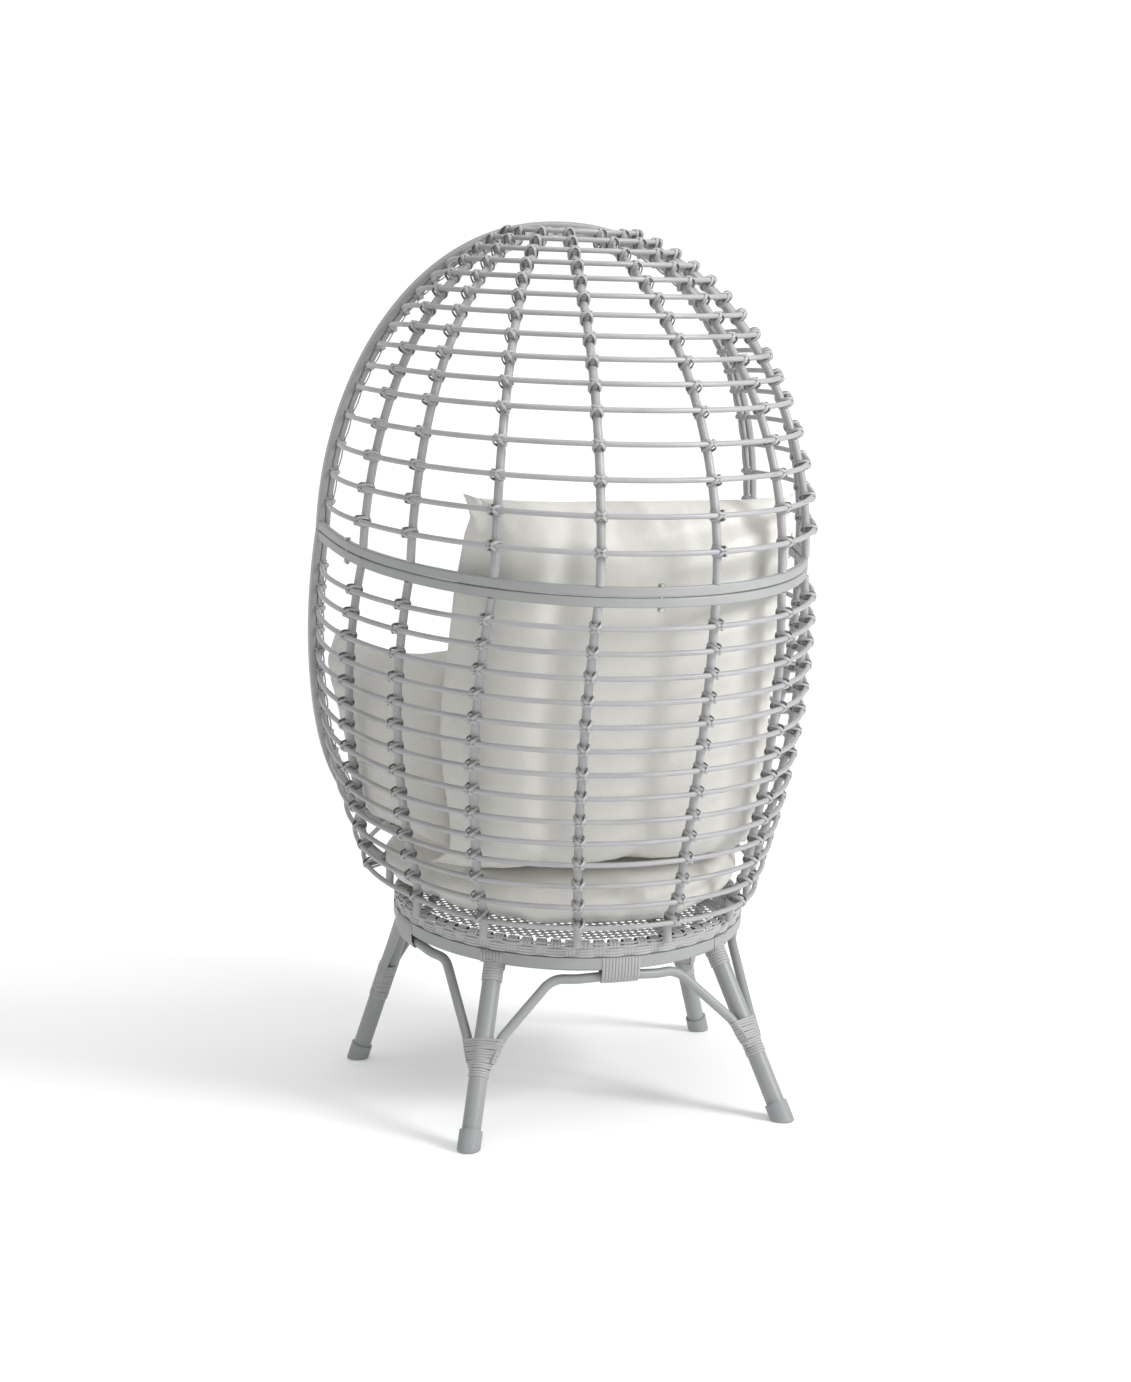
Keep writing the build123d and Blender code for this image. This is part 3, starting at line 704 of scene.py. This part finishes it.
def seat_weave():
    """Six-way cane weave: paired strands both ways, and diagonals half a pitch off them."""
    weave = Sweeps()
    radius = BAND_INNER_R + 1.5
    wide = 1.7
    slanting = SEAT_PITCH / math.sqrt(2)
    layers = (
        (0, SEAT_PITCH, (-1.5, 1.5), 2.00),
        (90, SEAT_PITCH, (-1.5, 1.5), 2.15),
        (45, slanting, (slanting / 2,), 2.30),
        (135, slanting, (slanting / 2,), 2.45),
    )
    up = unit(place(0, 0, 1) - place(0, 0, 0))
    for turn, spacing, pair, height in layers:
        cos, sin = math.cos(math.radians(turn)), math.sin(math.radians(turn))
        count = int(radius / spacing)
        for i in range(-count, count + 1):
            for shift in pair:
                d = i * spacing + shift
                if abs(d) >= radius - 2:
                    continue
                reach = math.sqrt(radius * radius - d * d)
                path = []
                for s in np.linspace(-reach, reach, 5):
                    x, y = d * cos - s * sin, d * sin + s * cos
                    path.append(place(x, y, SEAT_W + height))
                weave.add(path, [up] * 5, flat_profile(wide, 0.4))
    piece = weave.build("seat_weave", weave_skin, "cane_seat")
    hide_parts("cane_seat")


# ---------------------------------------------------------------- leg bindings

def leg_axis(number):
    a, b = math.radians(LEG_ANGLES[number]), math.radians(FOOT_ANGLES[number])
    foot = np.array([FOOT_RADII[number] * math.sin(b), RING_Y + FOOT_RADII[number] * math.cos(b), 0]) / 1000
    top = place(LEG_TOP_RADIUS * math.sin(a), LEG_TOP_RADIUS * math.cos(a), -RING_TALL)
    way = unit(top - foot)
    aside = np.array([math.cos(a), -math.sin(a), 0])
    aside = unit(aside - way * np.dot(aside, way))
    return foot, top, way, aside, np.cross(way, aside)


def hull_outline(circles, extra, count=44):
    """Rubber-band outline round (x, y, r) circles, as evenly spread points and normals."""
    turn = np.linspace(0, 2 * math.pi, 360, endpoint=False)
    ways = np.stack([np.cos(turn), np.sin(turn)], 1)
    reach = np.max([ways @ np.array(c[:2]) + c[2] + extra for c in circles], axis=0)
    slope = np.gradient(np.r_[reach[-1], reach, reach[0]])[1:-1] / (turn[1] - turn[0])
    side = np.stack([-np.sin(turn), np.cos(turn)], 1)
    points = ways * reach[:, None] + side * slope[:, None]
    far = np.r_[0, np.cumsum(np.linalg.norm(np.diff(np.r_[points, points[:1]], axis=0), axis=1))]
    want = np.linspace(0, far[-1], count, endpoint=False)
    ring = np.r_[points, points[:1]]
    out = np.r_[ways, ways[:1]]
    spread = [np.interp(want, far, ring[:, k]) for k in (0, 1)]
    facing = [np.interp(want, far, out[:, k]) for k in (0, 1)]
    return np.stack(spread, 1), np.stack(facing, 1)


def fan_circles(share):
    """Leg and trimmed brace feet as circles across the leg, in metres."""
    beside = LEG_R + BRACE_R + 0.3
    arm = np.interp(share, (BRACE_LOW, FAN_HIGH), (beside, beside + BRACE_SPREAD))
    edge = np.interp(share, (MITRE_LOW, FAN_HIGH), BRACE_MITRE[::-1])
    edge = min(edge, arm + BRACE_R)
    size = min(BRACE_R, max(2.0, (edge - LEG_R) / 2 + 1.0))
    circles = [(0, 0, LEG_R / 1000)]
    return circles + [(s * (edge - size) / 1000, 0, size / 1000) for s in (1, -1)]


def fan_binding(number):
    """Flat strand wound round the leg and both brace feet."""
    foot, top, way, aside, third = leg_axis(number)
    length = np.linalg.norm(top - foot)
    coil = Sweeps()
    wide = length * (FAN_HIGH - FAN_LOW) / FAN_TURNS * 1000
    for i in range(FAN_TURNS):
        share = FAN_LOW + (FAN_HIGH - FAN_LOW) * (i + 0.5) / FAN_TURNS
        points, facing = hull_outline(fan_circles(share), STRAND_THICK / 2000)
        wobble = 0.0007 * math.sin(i * 2.4)
        centre = foot + way * (length * share)
        path = [centre + aside * p[0] + third * p[1] + way * wobble * p[0] / 0.03 for p in points]
        normals = [aside * n[0] + third * n[1] for n in facing]
        coil.add(path, normals, domed_profile(wide * 1.06, STRAND_THICK * 1.2), closed=True)
    for i in range(FAN_WRAPS):
        centre = foot + way * (length * FAN_LOW - 0.003 - FAN_WRAP_PITCH / 1000 * i)
        wrap_ring(coil, centre, aside, third, LEG_R, 4.0)
    piece = coil.build(f"fan_strands_{LEG_NAMES[number]}", strand_skin, "rattan_binding")
    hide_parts(f"fan_binding_{LEG_NAMES[number]}")


def top_binding(number):
    """Upright strands over the base ring and turns round the top of the leg."""
    foot, top, way, aside, third = leg_axis(number)
    a0 = math.radians(LEG_ANGLES[number])
    coil = Sweeps()
    for i in range(TOP_STRANDS):
        off = i - (TOP_STRANDS - 1) / 2
        a = a0 + off * TOP_STRAND_PITCH / RING_R
        face = [(RING_R + 1.0, -0.6), (RING_R + 1.1, -12), (RING_R + 1.0, -21)]
        path = [place(r * math.sin(a), r * math.cos(a), w) for r, w in face]
        slide = aside * off * 0.0049
        for drop_by in (0.002, 0.008, 0.014):
            spoke = outward_from_leg(slide, aside, third)
            path.append(top - way * drop_by + slide + spoke)
        normals = [path[0] - place(0, 0, -5)] * len(path)
        coil.add(path, normals, domed_profile(5.7, STRAND_THICK))
    for i in range(TOP_TURNS):
        centre = top - way * (0.0035 + TOP_TURN_PITCH / 1000 * i)
        wrap_ring(coil, centre, aside, third, LEG_R + 0.2, 4.7)
    piece = coil.build(f"top_strands_{LEG_NAMES[number]}", strand_skin, "rattan_binding")
    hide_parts(f"top_binding_{LEG_NAMES[number]}")


def outward_from_leg(slide, aside, third):
    """Lift from the leg's axis to its outer face beside a sideways shift."""
    across = np.dot(slide, aside)
    depth = math.sqrt(max((LEG_R / 1000 + 0.0006) ** 2 - across**2, 0))
    facing = -1 if third[2] > 0 else 1
    return third * depth * facing


def brace_tie(first, name):
    """Strands round the base ring and the middle of a brace."""
    second = (first + 1) % 4
    start, stop = LEG_ANGLES[first], LEG_ANGLES[second]
    turn = (stop - start + 180) % 360 - 180
    middle = math.radians(start + turn / 2)
    coil = Sweeps()
    inner, outer = RING_INNER_R - 0.9, RING_R + 0.9
    low = -RING_TALL - 2 * BRACE_R - BRACE_CLEAR - 1.0
    for i in range(TIE_STRANDS):
        a = middle + (i - (TIE_STRANDS - 1) / 2) * TIE_STRAND_PITCH / RING_R
        face = [(inner + 2, -0.5), (outer - 2, -0.5), (outer, -3), (outer, -12), (outer, -RING_TALL)]
        face += [(outer - 1.2, low + 12), (outer - 5, low + 3), (outer - 9, low), (inner + 9, low)]
        face += [(inner + 5, low + 3), (inner + 1.2, low + 12), (inner, -RING_TALL)]
        face += [(inner, -12), (inner, -3)]
        path = [place(r * math.sin(a), r * math.cos(a), w) for r, w in face]
        hub = place((inner + outer) / 2 * math.sin(a), (inner + outer) / 2 * math.cos(a), -20)
        coil.add(path, [p - hub for p in path], domed_profile(5.4, STRAND_THICK), closed=True)
    piece = coil.build(f"tie_strands_{name}", strand_skin, "rattan_binding")
    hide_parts(f"brace_tie_{name}")


# ---------------------------------------------------------------- cushions

def pillow(name, node, point, counts, cap, details):
    """Two crowned faces joined at a seam, inflated as cloth, then stitched and creased.

    point(s, t) gives mid-surface, facing and half thickness in metres for s, t in -1..1.
    details(s, t, face) gives how far a point then moves along its facing.
    """
    ns, nt = counts
    grid_s = np.sin(np.linspace(-1, 1, ns) * math.pi / 2) * 0.35 + np.linspace(-1, 1, ns) * 0.65
    grid_t = np.sin(np.linspace(-1, 1, nt) * math.pi / 2) * 0.35 + np.linspace(-1, 1, nt) * 0.65
    verts, marks, index = [], [], {}
    for face in (1, -1):
        for i in range(ns):
            for j in range(nt):
                edge = i in (0, ns - 1) or j in (0, nt - 1)
                if edge and face < 0:
                    index[i, j, face] = index[i, j, 1]
                    continue
                middle, facing, thick = point(grid_s[i], grid_t[j])
                index[i, j, face] = len(verts)
                verts.append(middle + facing * (0 if edge else face * thick))
                marks.append((grid_s[i], grid_t[j], 0 if edge else face))
    faces = []
    for face in (1, -1):
        for i in range(ns - 1):
            for j in range(nt - 1):
                corners = ((i, j), (i + 1, j), (i + 1, j + 1), (i, j + 1))
                quad = [index[a, b, face] for a, b in corners]
                faces.append(quad if face > 0 else quad[::-1])
    mesh = bpy.data.meshes.new(name)
    mesh.from_pydata([tuple(v) for v in verts], [], faces)
    mesh.update()
    obj = bpy.data.objects.new(name, mesh)
    bpy.context.scene.collection.objects.link(obj)
    make_outward(mesh)
    start = np.array(verts)
    facing = np.array([point(s, t)[1] for s, t, _ in marks])
    inflate(obj, marks)
    moved = read_verts(mesh) - start
    swell = (moved * facing).sum(1, keepdims=True) * facing
    slide = moved - swell
    start = start + limited(swell, cap / 1000) + limited(slide, SLIDE / 1000)
    push = np.array([details(s, t, f) for s, t, f in marks])
    final = start + facing * (push * np.array([f for _, _, f in marks]))[:, None]
    mesh.vertices.foreach_set("co", final.ravel())
    mesh.polygons.foreach_set("use_smooth", [True] * len(mesh.polygons))
    mesh.update()
    smooth = obj.modifiers.new("soften", "SUBSURF")
    smooth.levels = 1
    smooth.render_levels = 1
    finish_piece(obj, cushion_cloth)
    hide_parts(node)
    return obj


def limited(moves, cap):
    """The same moves, none longer than the cap."""
    far = np.linalg.norm(moves, axis=1, keepdims=True)
    return moves * np.minimum(1, cap / np.maximum(far, 1e-9))


def make_outward(mesh):
    """Turn every face outwards, judged by the sign of the enclosed volume."""
    volume = 0.0
    for polygon in mesh.polygons:
        volume += polygon.center.dot(polygon.normal) * polygon.area
    if volume < 0:
        mesh.flip_normals()


def read_verts(mesh):
    co = np.empty(len(mesh.vertices) * 3)
    mesh.vertices.foreach_get("co", co)
    return co.reshape(-1, 3)


def inflate(obj, marks):
    """Blow the closed cloth up with its seam drawn in, and keep the last frame's shape."""
    seam = obj.vertex_groups.new(name="seam")
    seam.add([i for i, (_, _, f) in enumerate(marks) if f == 0], 1.0, "ADD")
    cloth = obj.modifiers.new("cloth", "CLOTH")
    setup = cloth.settings
    setup.quality = 5
    setup.mass = 0.3
    setup.tension_stiffness = 14
    setup.compression_stiffness = 10
    setup.shear_stiffness = 5
    setup.bending_stiffness = 0.25
    setup.use_pressure = True
    setup.uniform_pressure_force = 4.0
    setup.vertex_group_shrink = "seam"
    setup.shrink_min = -0.03
    setup.shrink_max = 0.05
    setup.effector_weights.gravity = 0
    cloth.point_cache.frame_start = 1
    cloth.point_cache.frame_end = INFLATE_FRAMES
    scene = bpy.context.scene
    for frame_number in range(1, INFLATE_FRAMES + 1):
        scene.frame_set(frame_number)
    depsgraph = bpy.context.evaluated_depsgraph_get()
    result = obj.evaluated_get(depsgraph)
    co = np.empty(len(result.data.vertices) * 3)
    result.data.vertices.foreach_get("co", co)
    obj.modifiers.remove(cloth)
    obj.vertex_groups.clear()
    obj.data.vertices.foreach_set("co", co)
    scene.frame_set(1)


def ripple(along, across, reach, pitch):
    """Seam puckers that die away from the seam; all lengths in millimetres."""
    wander = 1.7 * math.sin(along / 61.0 + 0.8) + 1.1 * math.sin(along / 23.0 + 2.1)
    size = 0.6 + 0.4 * math.sin(along / 87.0 + 1.3)
    return size * math.exp(-((across / reach) ** 2)) * math.sin(2 * math.pi * along / pitch + wander)


def dimple(value, centre, wide):
    return math.exp(-(((value - centre) / wide) ** 2))


# Height up the leaning back cushion and its half widths there, with the ears at both ends.
BACK_HEIGHTS = (-46, -28, -4, 60, 130, 200, 260, 320, 450, 545, 572, 592, 607)
BACK_LEFT = (286, 270, 262, 269, 282, 290, 291, 287, 280, 268, 260, 265, 274)
BACK_RIGHT = (306, 298, 292, 290, 290, 292, 293, 294, 292, 290, 286, 292, 303)
BACK_GROOVES = (131.0, -24.0, -179.0)
# How far the lower edge rides up on the seat cushion, from the sitter's right to left.
EDGE_SHARES = (-1.0, -0.6, 0.0, 0.4, 0.8, 1.0)
EDGE_LIFTS = (7, 12, 16, 13, 2, 0)


def back_point(s, t):
    """Back cushion: curved like the rear of the basket and leaning back with it."""
    h = (BACK_HEIGHTS[-1] + BACK_HEIGHTS[0]) / 2 + t * (BACK_HEIGHTS[-1] - BACK_HEIGHTS[0]) / 2
    sag = 9 * (1 - s**4) * max(t, 0) ** 6 - 6 * (1 - s**4) * max(-t, 0) ** 6
    h += np.interp(s, EDGE_SHARES, EDGE_LIFTS) * max(-t, 0) ** 6 - sag
    left, right = np.interp(h, BACK_HEIGHTS, BACK_LEFT), np.interp(h, BACK_HEIGHTS, BACK_RIGHT)
    u = (left - right) / 2 + s * (left + right) / 2
    v = 203 - 40 * (u / 280) ** 2 + 0.119 * h - 50 * max((34 - h) / 80, 0) ** 1.5
    facing = unit(np.array([0.29 * u / 280, 1.0, -0.12]))
    tip = (1 - abs(s) ** 5) ** 0.62 * (1 - abs(t) ** 7) ** 0.6
    thick = (74 - 34 * s * s) * tip
    world = place(u, v, 152 + 0.993 * h)
    out = unit(place(*(np.array([u, v, 152 + 0.993 * h]) + facing)) - world)
    return world, out, thick / 1000


def back_detail(s, t, face):
    """Sewn channels, puckers at the seams and loose drapes across the channels."""
    u, h = s * 283, 281 + t * 326
    groove = sum(dimple(u, g, 21) for g in BACK_GROOVES) + 0.8 * dimple(abs(u), 252, 14)
    inside = min(1.0, (1 - abs(s)) * 7) * min(1.0, (1 - abs(t)) * 9)
    push = -13.0 * groove * min(1.0, inside + 0.2)
    push += 1.6 * ripple(h, 283 * (1 - abs(s)), 34, 37)
    push += 1.8 * ripple(u + 31, 326 * (1 - abs(t)), 40, 33)
    push += 1.6 * math.sin(h / 74 + u / 96 + 1.1 * face) * math.sin(u / 49 + 0.7) * inside
    return push / 1000


def seat_point(s, t):
    """Round seat cushion with a soft edge, squeezed out towards the front corners."""
    x, y = s * math.sqrt(1 - t * t / 2), t * math.sqrt(1 - s * s / 2)
    r = min(math.hypot(x, y), 1.0)
    turn = math.degrees(math.atan2(abs(x), y))
    reach = 289.0 + 44.0 * dimple(turn, 112, 32) * r
    thick = 37 * (1 - r**5.2) ** 0.40 + 9 * (1 - r * r)
    out = unit(place(0, 0, 1) - place(0, 0, 0))
    return place(x * reach, y * reach, 72 + 12 * (1 - r**4)), out, thick / 1000


def seat_detail(s, t, face):
    x, y = s * math.sqrt(1 - t * t / 2), t * math.sqrt(1 - s * s / 2)
    r, turn = math.hypot(x, y), math.atan2(x, y)
    push = 1.7 * ripple(turn * 289, 289 * (1 - r), 30, 29)
    push += 1.5 * math.sin(x * 7 + 1) * math.sin(y * 6 + face) * (1 - r**6)
    return push / 1000


# Corners of a side pad's outline in the basket frame: bottom front, bottom rear, top rear, top front.
PAD_CORNERS = ((302, -176, 120), (226, 98, 126), (242, 104, 482), (383, -252, 456))


def pad_point(side):
    """Side pad leaning on the basket's side, bowed with it."""
    bf, br, tr, tf = (np.array(c, float) for c in PAD_CORNERS)

    def point(s, t):
        a, b = (s + 1) / 2, (t + 1) / 2
        pull_s = 0.025 * (1 - t * t) * s
        pull_t = 0.035 * (1 - s * s) * t
        a, b = min(max(a - pull_s, 0), 1), min(max(b - pull_t, 0), 1)
        low, high = bf + (br - bf) * a, tf + (tr - tf) * a
        p = low + (high - low) * b
        facing = unit(np.cross((br - bf) + (tr - tf), (tf - bf) + (tr - br)))
        if facing[0] < 0:
            facing = -facing
        bow = 26 * math.sin(math.pi * a) + 8 * math.sin(math.pi * b)
        p = p + facing * bow
        tip = (1 - abs(s) ** 4.5) ** 0.6 * (1 - abs(t) ** 4.5) ** 0.6
        mirror = np.array([side, 1, 1])
        world = place(*(p * mirror))
        out = unit(place(*((p + facing) * mirror)) - world)
        return world, out, (33 * tip) / 1000

    return point


def pad_detail(s, t, face):
    inside = min(1.0, (1 - abs(s)) * 5) * min(1.0, (1 - abs(t)) * 5)
    push = 2.2 * ripple(t * 145 + 20, 150 * (1 - abs(s)), 30, 31)
    push += 2.2 * ripple(s * 150, 145 * (1 - abs(t)), 32, 29)
    push += 1.8 * math.sin(s * 3.2 + t * 1.9 + face) * math.sin(t * 3.1 - s + 0.4) * inside
    return push / 1000


def make_cushions():
    pillow("back_pillow", "back_cushion", back_point, (76, 80), 16, back_detail)
    pillow("seat_pad", "seat_cushion", seat_point, (66, 66), 7, seat_detail)
    pillow("side_pad_left", "side_cushion_left", pad_point(1), (44, 44), 9, pad_detail)
    pillow("side_pad_right", "side_cushion_right", pad_point(-1), (44, 44), 9, pad_detail)


# ---------------------------------------------------------------- stage

def stage():
    """Pale floor with a painted glow that grows away from the chair, a bright backdrop beyond it, soft studio
    light from the right.
    """
    bpy.ops.mesh.primitive_plane_add(size=40, location=(0, 0, 0))
    floor = bpy.context.object
    floor.name = "studio_floor"
    material, tree, bsdf = new_material("studio_white")
    bsdf.inputs["Base Color"].default_value = (0.88, 0.885, 0.885, 1)
    bsdf.inputs["Roughness"].default_value = 0.85
    bsdf.inputs["Emission Color"].default_value = (1, 1, 1, 1)
    # The floor glows more with distance from the chair: painted light, leaving painted shade on the floor
    # near the chair.
    where = add(tree, "ShaderNodeTexCoord").outputs["Object"]
    far = add(tree, "ShaderNodeVectorMath", _operation="LENGTH", i0=where).outputs["Value"]
    painted_floor_glow = add(tree, "ShaderNodeMapRange", Value=far)
    for key, value in (("From Min", 0.7), ("From Max", 3.0), ("To Min", 0.18), ("To Max", 0.4)):
        painted_floor_glow.inputs[key].default_value = value
    tree.links.new(painted_floor_glow.outputs["Result"], bsdf.inputs["Emission Strength"])
    floor.data.materials.append(material)
    bpy.ops.mesh.primitive_plane_add(size=30, location=(-2, -9, 3), rotation=(math.pi / 2, 0, 0))
    wall = bpy.context.object
    wall.scale = (0.4, 0.2, 1)
    wall.name = "studio_wall"
    glow, tree, bsdf = new_material("studio_glow")
    bsdf.inputs["Base Color"].default_value = (0, 0, 0, 1)
    bsdf.inputs["Emission Color"].default_value = (1, 1, 1, 1)
    bsdf.inputs["Emission Strength"].default_value = 1.05
    wall.data.materials.append(glow)
    world = bpy.data.worlds.new("studio")
    world.use_nodes = True
    world.node_tree.nodes["Background"].inputs["Color"].default_value = (1, 1, 1, 1)
    world.node_tree.nodes["Background"].inputs["Strength"].default_value = 0.5
    bpy.context.scene.world = world
    bpy.context.scene.view_settings.view_transform = "Standard"
    for name, place_at, size, watts in (
        ("key", (-2.9, 2.9, 3.0), 1.5, 175),
        ("fill", (3.2, 3.6, 2.0), 3.0, 10),
        ("top", (0.0, 0.4, 4.2), 3.0, 52),
    ):
        light = bpy.data.lights.new(name, "AREA")
        light.energy = watts
        light.size = size
        lamp = bpy.data.objects.new(name, light)
        lamp.location = place_at
        lamp.rotation_euler = (Vector((0, 0, 0.7)) - Vector(place_at)).to_track_quat("-Z", "Y").to_euler()
        bpy.context.scene.collection.objects.link(lamp)


def camera():
    """Behind the chair and a little to its left, just over a metre up."""
    distance, azimuth, height, pitch = 3.6919, math.radians(16.96), 1.0912, math.radians(6.17)
    yaw = azimuth - math.radians(0.06)
    data = bpy.data.cameras.new("camera")
    data.lens = 55.37
    data.sensor_width = 36.0
    eye = bpy.data.objects.new("camera", data)
    eye.location = (distance * math.sin(azimuth), RING_Y / 1000 + distance * math.cos(azimuth), height)
    look = Vector((-math.sin(yaw) * math.cos(pitch), -math.cos(yaw) * math.cos(pitch), -math.sin(pitch)))
    eye.rotation_euler = look.to_track_quat("-Z", "Y").to_euler()
    bpy.context.scene.collection.objects.link(eye)
    bpy.context.scene.camera = eye


paint_nodes()
lash_ribs()
end_canes()
band_weave()
seat_weave()
for number in range(4):
    fan_binding(number)
    top_binding(number)
for first, name in enumerate(TIE_NAMES):
    brace_tie(first, name)
make_cushions()
stage()
camera()
